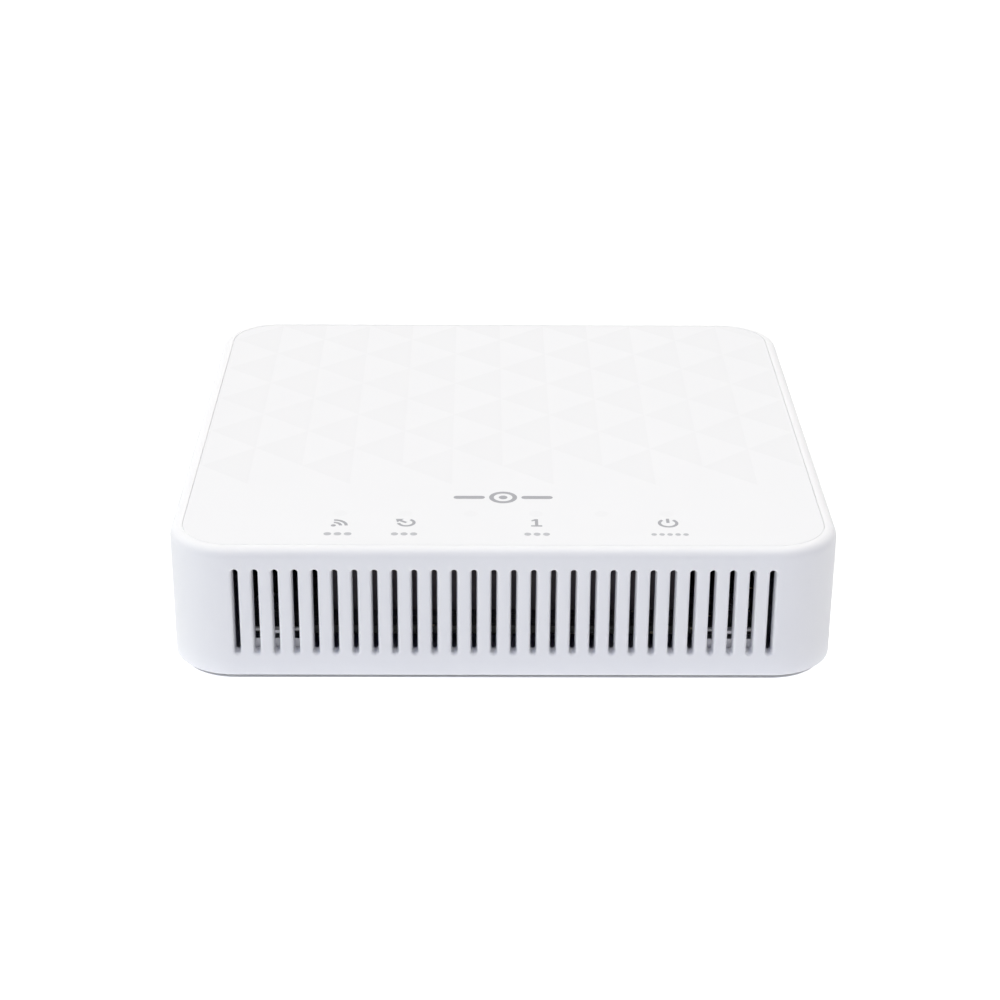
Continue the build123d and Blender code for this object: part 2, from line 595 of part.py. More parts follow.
# ================================================================ DC jack
DC_BODY_W = 9.0
DC_BODY_H = 11.0
DC_BODY_Y = 43.4
DC_FACE_Y = REAR_INNER_Y - 0.3
DC_COLLAR_R = 3.95
DC_MOUTH_Y = REAR_Y - 0.2
DC_BARREL_D = 9.5
DC_PIN_ROOT_R = 0.8
DC_PIN_ROOT_Y = 45.5
DC_PIN_BASE_Y = DC_MOUTH_Y - DC_BARREL_D + 0.05  # the pin's full diameter starts at the barrel's floor
DC_PIN_TIP_Y = DC_MOUTH_Y - 0.8
SPRING_W = 2.2
SPRING_T = 0.25
SPRING_REST_Z = DC_Z - 2.8
SPRING_CREST_Z = DC_Z - 2.45

with BuildPart() as dc_jack_body:
    with Locations((DC_X, DC_BODY_Y, TOP_Z)):
        Box(DC_BODY_W, DC_FACE_Y - DC_BODY_Y, DC_BODY_H, align=MIN_Y)
    with BuildSketch(wall_plane(DC_FACE_Y)):
        with Locations((DC_X, DC_Z)):
            Circle(DC_COLLAR_R)
    extrude(amount=-(DC_MOUTH_Y - DC_FACE_Y))
    with BuildSketch(wall_plane(DC_MOUTH_Y)):
        with Locations((DC_X, DC_Z)):
            Circle(DC_BARREL_R)
    extrude(amount=DC_BARREL_D, mode=Mode.SUBTRACT)
    with BuildSketch(wall_plane(DC_MOUTH_Y)):
        with Locations((DC_X, DC_Z)):
            Circle(DC_PIN_ROOT_R + 0.03)
    extrude(amount=DC_MOUTH_Y - DC_PIN_ROOT_Y, mode=Mode.SUBTRACT)
dc_jack_body.part.label = "dc_jack_body"
export_step(dc_jack_body.part, "parts/dc_jack_body.step")

with BuildPart() as dc_jack_pin:
    with BuildSketch(wall_plane(DC_PIN_ROOT_Y)):
        with Locations((DC_X, DC_Z)):
            Circle(DC_PIN_ROOT_R)
    extrude(amount=-(DC_PIN_BASE_Y - DC_PIN_ROOT_Y))
    with BuildSketch(wall_plane(DC_PIN_BASE_Y)):
        with Locations((DC_X, DC_Z)):
            Circle(DC_PIN_R)
    extrude(amount=-(DC_PIN_TIP_Y - DC_PIN_BASE_Y))
    fillet(dc_jack_pin.edges().group_by(Axis.Y)[-1], radius=0.6)
dc_jack_pin.part.label = "dc_jack_pin"
export_step(dc_jack_pin.part, "parts/dc_jack_pin.step")

with BuildPart() as dc_jack_spring:
    with BuildSketch(Plane.YZ.offset(DC_X - SPRING_W / 2)):
        with BuildLine():
            Polyline(
                (DC_MOUTH_Y - 8.6, SPRING_REST_Z),
                (DC_MOUTH_Y - 4.5, SPRING_CREST_Z),
                (DC_MOUTH_Y - 1.2, SPRING_REST_Z),
                (DC_MOUTH_Y - 1.2, SPRING_REST_Z + SPRING_T),
                (DC_MOUTH_Y - 4.5, SPRING_CREST_Z + SPRING_T),
                (DC_MOUTH_Y - 8.6, SPRING_REST_Z + SPRING_T),
                close=True,
            )
        make_face()
    extrude(amount=SPRING_W)
dc_jack_spring.part.label = "dc_jack_spring"
export_step(dc_jack_spring.part, "parts/dc_jack_spring.step")

# ================================================================ power switch and its button
SWITCH_W = 8.0
SWITCH_H = 8.8
SWITCH_Y = 38.0
SWITCH_FACE_Y = 49.0
PLUNGER_W = 3.2
PLUNGER_ROOT_Y = 45.2
PLUNGER_TIP_Y = 53.4
PLUNGER_CLEARANCE = 0.25
STEM_R = 3.0
STEM_Y = 52.0
COLLAR_R = 4.2
COLLAR_T = 1.2
COLLAR_Y = REAR_INNER_Y - 0.3 - COLLAR_T
DISH_R = 12.0
DISH_DEPTH = 0.35

with BuildPart() as power_switch_body:
    with Locations((BUTTON_X, SWITCH_Y, TOP_Z)):
        Box(SWITCH_W, SWITCH_FACE_Y - SWITCH_Y, SWITCH_H, align=MIN_Y)
    with BuildSketch(wall_plane(SWITCH_FACE_Y)):
        with Locations((BUTTON_X, BUTTON_Z)):
            Rectangle(PLUNGER_W + 2 * PLUNGER_CLEARANCE, PLUNGER_W + 2 * PLUNGER_CLEARANCE)
    extrude(amount=SWITCH_FACE_Y - PLUNGER_ROOT_Y + BUTTON_TRAVEL + 0.6, mode=Mode.SUBTRACT)
power_switch_body.part.label = "power_switch_body"
export_step(power_switch_body.part, "parts/power_switch_body.step")

with BuildPart() as power_switch_plunger:
    with BuildSketch(wall_plane(PLUNGER_ROOT_Y)):
        with Locations((BUTTON_X, BUTTON_Z)):
            Rectangle(PLUNGER_W, PLUNGER_W)
    extrude(amount=-(PLUNGER_TIP_Y - PLUNGER_ROOT_Y))
power_switch_plunger.part.label = "power_switch_plunger"
export_step(power_switch_plunger.part, "parts/power_switch_plunger.step")

BUTTON_FACE_Y = REAR_Y + REAR_PROUD

with BuildPart() as power_button:
    with BuildSketch(wall_plane(STEM_Y)):
        with Locations((BUTTON_X, BUTTON_Z)):
            Circle(STEM_R)
    extrude(amount=-(COLLAR_Y - STEM_Y))
    with BuildSketch(wall_plane(COLLAR_Y)):
        with Locations((BUTTON_X, BUTTON_Z)):
            Circle(COLLAR_R)
    extrude(amount=-COLLAR_T)
    with BuildSketch(wall_plane(COLLAR_Y)):
        with Locations((BUTTON_X, BUTTON_Z)):
            Circle(BUTTON_R)
    extrude(amount=-(BUTTON_FACE_Y - COLLAR_Y))
    fillet(power_button.edges().group_by(Axis.Y)[-1], radius=0.5)
    with Locations((BUTTON_X, BUTTON_FACE_Y + DISH_R - DISH_DEPTH, BUTTON_Z)):
        Sphere(DISH_R, mode=Mode.SUBTRACT)
    with BuildSketch(wall_plane(STEM_Y)):
        with Locations((BUTTON_X, BUTTON_Z)):
            Rectangle(PLUNGER_W + 0.06, PLUNGER_W + 0.06)
    extrude(amount=-(PLUNGER_TIP_Y + SOLDER_GAP - STEM_Y), mode=Mode.SUBTRACT)
power_button.part.label = "power_button"
export_step(power_button.part, "parts/power_button.step")

# ================================================================ reset switch
RESET_W = 6.0
RESET_H = 5.4
RESET_BODY_Y = 49.0
RESET_FACE_Y = 53.4
RESET_PLUNGER_R = 0.9
RESET_PLUNGER_ROOT_Y = 52.2
RESET_PLUNGER_TIP_Y = 54.7

with BuildPart() as reset_switch_body:
    with Locations((RESET_X, RESET_BODY_Y, TOP_Z)):
        Box(RESET_W, RESET_FACE_Y - RESET_BODY_Y, RESET_H, align=MIN_Y)
    with BuildSketch(wall_plane(RESET_FACE_Y)):
        with Locations((RESET_X, RESET_Z)):
            Circle(RESET_PLUNGER_R + 0.3)
    extrude(amount=RESET_FACE_Y - RESET_PLUNGER_ROOT_Y + RESET_TRAVEL + 0.3, mode=Mode.SUBTRACT)
reset_switch_body.part.label = "reset_switch_body"
export_step(reset_switch_body.part, "parts/reset_switch_body.step")

with BuildPart() as reset_switch_plunger:
    with BuildSketch(wall_plane(RESET_PLUNGER_ROOT_Y)):
        with Locations((RESET_X, RESET_Z)):
            Circle(RESET_PLUNGER_R)
    extrude(amount=-(RESET_PLUNGER_TIP_Y - RESET_PLUNGER_ROOT_Y))
reset_switch_plunger.part.label = "reset_switch_plunger"
export_step(reset_switch_plunger.part, "parts/reset_switch_plunger.step")

# ================================================================ optical adapter and dust door
ADAPTER_W = 12.8
ADAPTER_Z0 = 8.4
ADAPTER_Z1 = 17.7
ADAPTER_REAR_Y = 30.0
ADAPTER_MOUTH_Y = REAR_Y - 1.5
CAVITY_W = 9.1
CAVITY_H = 7.5
CAVITY_FLOOR_Y = 42.0
KEY_W = 2.3
KEY_H = 0.6
SLEEVE_POST_R = 2.7
SLEEVE_POST_TIP_Y = 49.6
SLEEVE_R = 1.85
SLEEVE_BORE_R = 1.27
SLEEVE_SLIT = 0.5
FERRULE_R = 1.25
FERRULE_FLANGE_R = 2.4
FERRULE_STEP_Y = 36.2

HINGE_Y = REAR_Y - 1.15
HINGE_Z = 18.0
HINGE_PIN_R = 0.4
KNUCKLE_R = 1.05
KNUCKLE_ROOM = 0.35
EAR_INNER = 5.3
EAR_T = 1.1
EAR_Z1 = 19.1
DOOR_W = 10.0
DOOR_INNER_Y = ADAPTER_MOUTH_Y + 0.2
DOOR_OUTER_Y = REAR_Y - 0.1
DOOR_Z0 = 9.0
DOOR_LIP_REACH = 0.9
DOOR_LIP_H = 0.9

with BuildPart() as optical_adapter:
    with Locations((OPTICAL_X, ADAPTER_REAR_Y, ADAPTER_Z0)):
        Box(ADAPTER_W, ADAPTER_MOUTH_Y - ADAPTER_REAR_Y, ADAPTER_Z1 - ADAPTER_Z0, align=MIN_Y)
    # plug cavity with a key slot in its roof
    with Locations((OPTICAL_X, CAVITY_FLOOR_Y, OPTICAL_Z - CAVITY_H / 2)):
        Box(CAVITY_W, ADAPTER_MOUTH_Y - CAVITY_FLOOR_Y, CAVITY_H, align=MIN_Y, mode=Mode.SUBTRACT)
    with Locations((OPTICAL_X, CAVITY_FLOOR_Y, OPTICAL_Z + CAVITY_H / 2)):
        Box(KEY_W, ADAPTER_MOUTH_Y - CAVITY_FLOOR_Y, KEY_H, align=MIN_Y, mode=Mode.SUBTRACT)
    # post that holds the alignment sleeve
    with BuildSketch(wall_plane(CAVITY_FLOOR_Y)):
        with Locations((OPTICAL_X, OPTICAL_Z)):
            Circle(SLEEVE_POST_R)
    extrude(amount=-(SLEEVE_POST_TIP_Y - CAVITY_FLOOR_Y))
    with BuildSketch(wall_plane(FERRULE_STEP_Y)):
        with Locations((OPTICAL_X, OPTICAL_Z)):
            Circle(SLEEVE_R + 0.03)
    extrude(amount=-(SLEEVE_POST_TIP_Y - FERRULE_STEP_Y), mode=Mode.SUBTRACT)
    with BuildSketch(wall_plane(ADAPTER_REAR_Y)):
        with Locations((OPTICAL_X, OPTICAL_Z)):
            Circle(FERRULE_FLANGE_R + 0.03)
    extrude(amount=-(FERRULE_STEP_Y - ADAPTER_REAR_Y), mode=Mode.SUBTRACT)
    # room for the door's knuckle, and two ears for its pin
    with Locations((OPTICAL_X, HINGE_Y - KNUCKLE_R - KNUCKLE_ROOM, HINGE_Z - KNUCKLE_R - KNUCKLE_ROOM)):
        Box(ADAPTER_W, REAR_Y, ADAPTER_Z1, align=MIN_Y, mode=Mode.SUBTRACT)
    ear_xs = [OPTICAL_X + side * (EAR_INNER + EAR_T / 2) for side in (-1, 1)]
    with Locations(*[(x, HINGE_Y - 2.6, OPTICAL_Z) for x in ear_xs]):
        Box(EAR_T, REAR_Y - 0.3 - HINGE_Y + 2.6, EAR_Z1 - OPTICAL_Z, align=MIN_Y)
    for ear_x in ear_xs:
        with BuildSketch(Plane.YZ.offset(ear_x - EAR_T / 2)):
            with Locations((HINGE_Y, HINGE_Z)):
                Circle(HINGE_PIN_R + 0.02)
        extrude(amount=EAR_T, mode=Mode.SUBTRACT)
optical_adapter.part.label = "optical_adapter"
export_step(optical_adapter.part, "parts/optical_adapter.step")

with BuildPart() as alignment_sleeve:
    with BuildSketch(wall_plane(FERRULE_STEP_Y + 1.6)):
        with Locations((OPTICAL_X, OPTICAL_Z)):
            Circle(SLEEVE_R)
            Circle(SLEEVE_BORE_R, mode=Mode.SUBTRACT)
        with Locations((OPTICAL_X, OPTICAL_Z + SLEEVE_R)):
            Rectangle(SLEEVE_SLIT, SLEEVE_R, mode=Mode.SUBTRACT)
    extrude(amount=-(SLEEVE_POST_TIP_Y - 0.3 - FERRULE_STEP_Y - 1.6))
alignment_sleeve.part.label = "alignment_sleeve"
export_step(alignment_sleeve.part, "parts/alignment_sleeve.step")

with BuildPart() as fibre_ferrule:
    with BuildSketch(wall_plane(ADAPTER_REAR_Y + 0.6)):
        with Locations((OPTICAL_X, OPTICAL_Z)):
            Circle(FERRULE_FLANGE_R)
    extrude(amount=-(FERRULE_STEP_Y - ADAPTER_REAR_Y - 0.7))
    with BuildSketch(wall_plane(FERRULE_STEP_Y - 1)):
        with Locations((OPTICAL_X, OPTICAL_Z)):
            Circle(FERRULE_R)
    extrude(amount=-8.0)
    chamfer(fibre_ferrule.edges().group_by(Axis.Y)[-1], length=0.3)
fibre_ferrule.part.label = "fibre_ferrule"
export_step(fibre_ferrule.part, "parts/fibre_ferrule.step")

with BuildPart() as dust_door:
    with Locations((OPTICAL_X, DOOR_INNER_Y, DOOR_Z0)):
        Box(DOOR_W, DOOR_OUTER_Y - DOOR_INNER_Y, HINGE_Z - DOOR_Z0, align=MIN_Y)
    with BuildSketch(Plane.YZ.offset(OPTICAL_X - DOOR_W / 2)):
        with Locations((HINGE_Y, HINGE_Z)):
            Circle(KNUCKLE_R)
    extrude(amount=DOOR_W)
    with Locations((OPTICAL_X, DOOR_OUTER_Y, DOOR_Z0)):
        Box(DOOR_W / 2, DOOR_LIP_REACH, DOOR_LIP_H, align=MIN_Y)
    with BuildSketch(Plane.YZ.offset(OPTICAL_X - DOOR_W / 2)):
        with Locations((HINGE_Y, HINGE_Z)):
            Circle(HINGE_PIN_R + 0.05)
    extrude(amount=DOOR_W, mode=Mode.SUBTRACT)
dust_door.part.label = "dust_door"
export_step(dust_door.part, "parts/dust_door.step")

with BuildPart() as dust_door_pin:
    with BuildSketch(Plane.YZ.offset(OPTICAL_X - EAR_INNER - EAR_T + 0.1)):
        with Locations((HINGE_Y, HINGE_Z)):
            Circle(HINGE_PIN_R)
    extrude(amount=2 * (EAR_INNER + EAR_T - 0.1))
dust_door_pin.part.label = "dust_door_pin"
export_step(dust_door_pin.part, "parts/dust_door_pin.step")

# ================================================================ optical transceiver
TRANSCEIVER_X = -42.0
TRANSCEIVER_W = 7.0
TRANSCEIVER_Y0 = -2.0
TRANSCEIVER_Y1 = 9.0
FIBRE_R = 0.45
FIBRE_START_Y = ADAPTER_REAR_Y + 0.4
FIBRE_TURN_R = (OPTICAL_X - TRANSCEIVER_X) / 2
FIBRE_TURN_Y = -14.0
LASER_R = 2.8
LASER_L = 5.5
PHOTODIODE_R = 2.4
PHOTODIODE_L = 4.5

with BuildPart() as transceiver_block:
    with Locations((TRANSCEIVER_X, TRANSCEIVER_Y0, OPTICAL_Z - TRANSCEIVER_W / 2)):
        Box(TRANSCEIVER_W, TRANSCEIVER_Y1 - TRANSCEIVER_Y0, TRANSCEIVER_W, align=MIN_Y)
    chamfer(transceiver_block.edges().filter_by(Axis.Y), length=0.4)
transceiver_block.part.label = "transceiver_block"
export_step(transceiver_block.part, "parts/transceiver_block.step")

with BuildPart() as laser_can:
    with BuildSketch(wall_plane(TRANSCEIVER_Y1)):
        with Locations((TRANSCEIVER_X, OPTICAL_Z)):
            Circle(LASER_R)
    extrude(amount=-LASER_L)
laser_can.part.label = "laser_can"
export_step(laser_can.part, "parts/laser_can.step")

with BuildPart() as photodiode_can:
    with BuildSketch(Plane.YZ.offset(TRANSCEIVER_X + TRANSCEIVER_W / 2)):
        with Locations(((TRANSCEIVER_Y0 + TRANSCEIVER_Y1) / 2, OPTICAL_Z)):
            Circle(PHOTODIODE_R)
    extrude(amount=PHOTODIODE_L)
photodiode_can.part.label = "photodiode_can"
export_step(photodiode_can.part, "parts/photodiode_can.step")

with BuildPart() as fibre_pigtail:
    with BuildLine():
        out_bottom = (OPTICAL_X, FIBRE_TURN_Y, OPTICAL_Z)
        turn_bottom = ((OPTICAL_X + TRANSCEIVER_X) / 2, FIBRE_TURN_Y - FIBRE_TURN_R, OPTICAL_Z)
        back_bottom = (TRANSCEIVER_X, FIBRE_TURN_Y, OPTICAL_Z)
        Line((OPTICAL_X, FIBRE_START_Y, OPTICAL_Z), out_bottom)
        ThreePointArc(out_bottom, turn_bottom, back_bottom)
        Line(back_bottom, (TRANSCEIVER_X, TRANSCEIVER_Y0, OPTICAL_Z))
    with BuildSketch(wall_plane(FIBRE_START_Y)):
        with Locations((OPTICAL_X, OPTICAL_Z)):
            Circle(FIBRE_R)
    sweep()
fibre_pigtail.part.label = "fibre_pigtail"
export_step(fibre_pigtail.part, "parts/fibre_pigtail.step")

SHIELD_X0 = -46.4
SHIELD_X1 = -33.0
SHIELD_Y0 = -4.0
SHIELD_Y1 = 16.5
SHIELD_H = 9.6
SHIELD_SHEET = 0.3
FIBRE_NOTCH_W = 2.0
SHIELD_X = (SHIELD_X0 + SHIELD_X1) / 2

with BuildPart() as optical_shield:
    with Locations((SHIELD_X, SHIELD_Y0, TOP_Z)):
        Box(SHIELD_X1 - SHIELD_X0, SHIELD_Y1 - SHIELD_Y0, SHIELD_H, align=MIN_Y)
    with Locations((SHIELD_X, SHIELD_Y0 + SHIELD_SHEET, TOP_Z)):
        Box(
            SHIELD_X1 - SHIELD_X0 - 2 * SHIELD_SHEET,
            SHIELD_Y1 - SHIELD_Y0 - 2 * SHIELD_SHEET,
            SHIELD_H - SHIELD_SHEET,
            align=MIN_Y,
            mode=Mode.SUBTRACT,
        )
    # the fibre enters through a notch that runs down to the board
    with Locations((TRANSCEIVER_X, SHIELD_Y0, TOP_Z)):
        Box(FIBRE_NOTCH_W, SHIELD_SHEET, OPTICAL_Z + 1 - TOP_Z, align=MIN_Y, mode=Mode.SUBTRACT)
optical_shield.part.label = "optical_shield"
export_step(optical_shield.part, "parts/optical_shield.step")
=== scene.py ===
import json
import math

import bpy
from mathutils import Matrix, Vector
from mathutils.geometry import delaunay_2d_cdt


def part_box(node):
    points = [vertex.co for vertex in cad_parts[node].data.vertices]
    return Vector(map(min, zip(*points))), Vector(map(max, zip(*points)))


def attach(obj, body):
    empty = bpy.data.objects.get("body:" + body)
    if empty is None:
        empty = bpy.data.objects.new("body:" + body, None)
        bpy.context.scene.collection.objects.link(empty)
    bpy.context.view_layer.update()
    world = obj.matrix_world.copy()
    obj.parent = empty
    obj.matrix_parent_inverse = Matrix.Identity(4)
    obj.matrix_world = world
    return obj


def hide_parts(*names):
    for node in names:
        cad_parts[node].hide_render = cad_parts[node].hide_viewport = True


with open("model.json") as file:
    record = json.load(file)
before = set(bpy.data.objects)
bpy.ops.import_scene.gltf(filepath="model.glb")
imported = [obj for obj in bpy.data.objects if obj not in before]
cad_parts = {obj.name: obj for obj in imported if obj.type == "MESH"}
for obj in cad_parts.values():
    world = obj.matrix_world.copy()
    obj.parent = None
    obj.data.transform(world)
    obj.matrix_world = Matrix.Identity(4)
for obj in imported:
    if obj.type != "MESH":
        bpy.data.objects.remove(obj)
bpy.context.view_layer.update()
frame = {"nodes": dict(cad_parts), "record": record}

# Optical network terminal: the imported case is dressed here. Lengths are in metres. +Z is up, the
# vented front wall faces -Y, and the ports face +Y.
MM = 0.001

panel_low, panel_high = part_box("top_panel")
housing_low, housing_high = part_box("upper_housing")
CASE_MID_Y = (housing_low.y + housing_high.y) / 2
TOP_Z = housing_high.z
CASE_CORNER_R = 11.7 * MM
PANEL_R = CASE_CORNER_R - (panel_low.x - housing_low.x)

# ---------------------------------------------------------------- camera
CAMERA_PLACE = Vector((-4.35, CASE_MID_Y / MM - 420.06, 199.26)) * MM
CAMERA_TARGET = Vector((-0.22, CASE_MID_Y / MM, 9.19)) * MM
CAMERA_ROLL = math.radians(0.365)
CAMERA_LENS = 82.24
CAMERA_SENSOR = 36.0


def make_camera():
    data = bpy.data.cameras.new("studio_camera")
    data.lens = CAMERA_LENS
    data.sensor_width = CAMERA_SENSOR
    data.clip_start = 0.01
    data.dof.use_dof = False
    camera = bpy.data.objects.new("studio_camera", data)
    turn = (CAMERA_TARGET - CAMERA_PLACE).to_track_quat("-Z", "Y").to_matrix().to_4x4()
    camera.matrix_world = Matrix.Translation(CAMERA_PLACE) @ turn @ Matrix.Rotation(CAMERA_ROLL, 4, "Z")
    bpy.context.scene.collection.objects.link(camera)
    bpy.context.scene.camera = camera


# ---------------------------------------------------------------- material building blocks
class Nodes:
    """The node tree of a new material, or of the world, with one short call for each kind of node."""

    def __init__(self, name=None, world=None):
        self.material = world or bpy.data.materials.new(name)
        self.material.use_nodes = True
        self.tree = self.material.node_tree
        coordinates = self.add("ShaderNodeTexCoord").outputs
        if world:
            self.background = self.tree.nodes["Background"]
            self.direction = coordinates["Generated"]
        else:
            self.shader = self.tree.nodes["Principled BSDF"]
            self.place = coordinates["Object"]

    def add(self, kind, links=None, **settings):
        node = self.tree.nodes.new(kind)
        for key, value in settings.items():
            setattr(node, key, value)
        for socket, source in (links or {}).items():
            self.put(node.inputs[socket], source)
        return node

    def put(self, socket, source):
        if isinstance(source, bpy.types.NodeSocket):
            self.tree.links.new(source, socket)
        else:
            socket.default_value = source

    def noise(self, scale, detail=3.0, roughness=0.5, place=None):
        links = {"Vector": place or self.place, "Scale": scale, "Detail": detail, "Roughness": roughness}
        return self.add("ShaderNodeTexNoise", links).outputs["Fac"]

    def stretched(self, scales):
        mapping = self.add("ShaderNodeMapping", {"Vector": self.place, "Scale": scales})
        return mapping.outputs["Vector"]

    def remap(self, value, low, high, to_low, to_high, smooth=False):
        settings = {"interpolation_type": "SMOOTHSTEP"} if smooth else {}
        links = {0: value, 1: low, 2: high, 3: to_low, 4: to_high}
        return self.add("ShaderNodeMapRange", links, **settings).outputs[0]

    def math(self, operation, first, second=0.0, third=0.0):
        links = {0: first, 1: second, 2: third}
        return self.add("ShaderNodeMath", links, operation=operation).outputs[0]

    def length(self, first, second):
        squares = [self.math("POWER", side, 2.0) for side in (first, second)]
        return self.math("SQRT", self.math("ADD", *squares))

    def blend(self, share, first, second):
        node = self.add("ShaderNodeMix", {0: share}, data_type="RGBA")
        self.put(node.inputs[6], first)
        self.put(node.inputs[7], second)
        return node.outputs[2]

    def bump(self, height, distance):
        links = {"Height": height, "Distance": distance, "Strength": 1.0}
        return self.add("ShaderNodeBump", links).outputs["Normal"]

    def set(self, **values):
        for key, value in values.items():
            self.put(self.shader.inputs[key.replace("_", " ")], value)
        return self.material


def tone(colour, factor):
    return (*[min(1.0, c * factor) for c in colour], 1.0)


def moulded(name, colour, roughness, grain=0.00022, depth=0.000006, drift=0.012, shine=0.5):
    """Injection moulded plastic: fine spark-eroded grain, slow drift in tone and in gloss."""
    n = Nodes(name)
    slow = n.noise(38.0, 2.0)
    speck = n.noise(0.6 / grain, 2.0)
    base = n.blend(n.remap(slow, 0.3, 0.7, 0.0, 1.0), tone(colour, 1 - drift), tone(colour, 1 + drift))
    base = n.blend(n.remap(speck, 0.3, 0.7, 0.0, 0.5), base, tone(colour, 1 - 2 * drift))
    gloss = n.remap(n.noise(140.0, 4.0), 0.3, 0.7, roughness - 0.04, roughness + 0.05)
    return n.set(
        Base_Color=base,
        Roughness=gloss,
        Specular_IOR_Level=shine,
        Normal=n.bump(speck, depth),
    )


def metal(name, colour, roughness, lines=(2500.0, 60.0, 2500.0), depth=0.000003):
    """Rolled or plated metal with faint drawing lines and clouding."""
    n = Nodes(name)
    streak = n.noise(1.0, 3.0, place=n.stretched(lines))
    cloud = n.noise(160.0, 4.0)
    base = n.blend(n.remap(cloud, 0.35, 0.7, 0.0, 1.0), tone(colour, 0.9), tone(colour, 1.05))
    gloss = n.remap(streak, 0.3, 0.7, roughness - 0.06, roughness + 0.1)
    return n.set(Base_Color=base, Metallic=1.0, Roughness=gloss, Normal=n.bump(streak, depth))


def rubber(name, colour):
    n = Nodes(name)
    pores = n.noise(2600.0, 3.0)
    dust = n.remap(n.noise(220.0, 5.0), 0.45, 0.75, 0.0, 0.35)
    return n.set(
        Base_Color=n.blend(dust, tone(colour, 1.0), tone(colour, 1.9)),
        Roughness=n.remap(pores, 0.3, 0.7, 0.72, 0.9),
        Normal=n.bump(pores, 0.00002),
    )


def circuit_board(name, mask):
    """Solder mask over copper: straight tracks show as slightly paler, raised lines."""
    n = Nodes(name)
    cells = n.add(
        "ShaderNodeTexVoronoi",
        {"Vector": n.place, "Scale": 260.0, "Randomness": 0.75},
        distance="CHEBYCHEV",
        feature="F1",
    )
    ripple = n.math("PINGPONG", n.math("MULTIPLY", cells.outputs["Distance"], 9.0), 1.0)
    track = n.remap(ripple, 0.55, 0.7, 0.0, 1.0, smooth=True)
    via_cells = n.add("ShaderNodeTexVoronoi", {"Vector": n.place, "Scale": 330.0, "Randomness": 0.9})
    via = n.remap(via_cells.outputs["Distance"], 0.1, 0.13, 1.0, 0.0, smooth=True)
    base = n.blend(track, tone(mask, 1.0), tone(mask, 1.5))
    base = n.blend(via, base, (0.55, 0.5, 0.36, 1.0))
    return n.set(Base_Color=base, Roughness=0.32, Normal=n.bump(track, 0.00003))


def label_paper(name, colour):
    n = Nodes(name)
    fibre = n.noise(1800.0, 4.0)
    return n.set(
        Base_Color=n.blend(n.remap(fibre, 0.3, 0.7, 0.0, 1.0), tone(colour, 0.98), tone(colour, 1.01)),
        Roughness=n.remap(n.noise(90.0, 3.0), 0.3, 0.7, 0.45, 0.6),
        Normal=n.bump(fibre, 0.000004),
    )


def clear_plastic(name, colour):
    n = Nodes(name)
    haze = n.noise(500.0, 3.0)
    return n.set(
        Base_Color=n.blend(n.remap(haze, 0.3, 0.7, 0.0, 1.0), tone(colour, 0.97), tone(colour, 1.0)),
        Roughness=n.remap(haze, 0.3, 0.7, 0.06, 0.18),
        Transmission_Weight=0.85,
        IOR=1.49,
        Normal=n.bump(haze, 0.000002),
    )


# ---------------------------------------------------------------- the faceted top panel's finish
LED_COUNT = 6
LED_PITCH = 11.85 * MM
LED_Y = CASE_MID_Y - 43.2 * MM
SPOT_R = 1.45 * MM
SPOT_CORE = 0.75  # share of the radius that is evenly dark
SPOT_STRENGTH = 0.6
SPOT_SHADE = 0.97
WHITE = (0.86, 0.86, 0.865)
FACET_COLUMN = 9.53 * MM
FACET_PITCH = 17.2 * MM
FACET_FRONT_Y = CASE_MID_Y - 31.0 * MM
FACET_REAR_Y = CASE_MID_Y + 55.0 * MM
FACET_APEX_Y = CASE_MID_Y + 4.3 * MM
FACET_BLUR = 0.12 * MM
# painted shade: the facets' base colour is darkened as if they were turned a little away from the light
FACET_PAINTED_SHADE = 0.976
FACET_MATTNESS = 0.03


def light_spots(n, x, y):
    """1 over each light pocket, 0 elsewhere."""
    reach = LED_COUNT * LED_PITCH / 2
    along = n.math("WRAP", n.math("SUBTRACT", x, LED_PITCH / 2), LED_PITCH / 2, -LED_PITCH / 2)
    apart = n.length(along, n.math("SUBTRACT", y, LED_Y))
    inside = n.math("LESS_THAN", n.math("ABSOLUTE", x), reach)
    return n.math("MULTIPLY", n.remap(apart, SPOT_R * SPOT_CORE, SPOT_R, 1.0, 0.0, smooth=True), inside)


def facet_mask(n, x, y):
    """1 on the left-pointing triangles, 0 between them. Every other column is half a pitch along."""
    column = n.math("DIVIDE", x, FACET_COLUMN)
    odd = n.math("FLOORED_MODULO", n.math("FLOOR", column), 2.0)
    shift = n.math("MULTIPLY", n.math("SUBTRACT", 1.0, odd), FACET_PITCH / 2)
    along = n.math("SUBTRACT", n.math("SUBTRACT", y, FACET_APEX_Y), shift)
    off_apex = n.math("WRAP", along, FACET_PITCH / 2, -FACET_PITCH / 2)
    from_apex = n.math("ABSOLUTE", off_apex)
    half_width = n.math("MULTIPLY", n.math("FRACT", column), FACET_PITCH / 2)
    depth = n.math("SUBTRACT", half_width, from_apex)
    facet = n.remap(depth, -FACET_BLUR, FACET_BLUR, 0.0, 1.0, smooth=True)
    whole = n.math("GREATER_THAN", n.math("SUBTRACT", y, off_apex), FACET_FRONT_Y + FACET_PITCH / 2)
    return n.math("MULTIPLY", facet, whole)


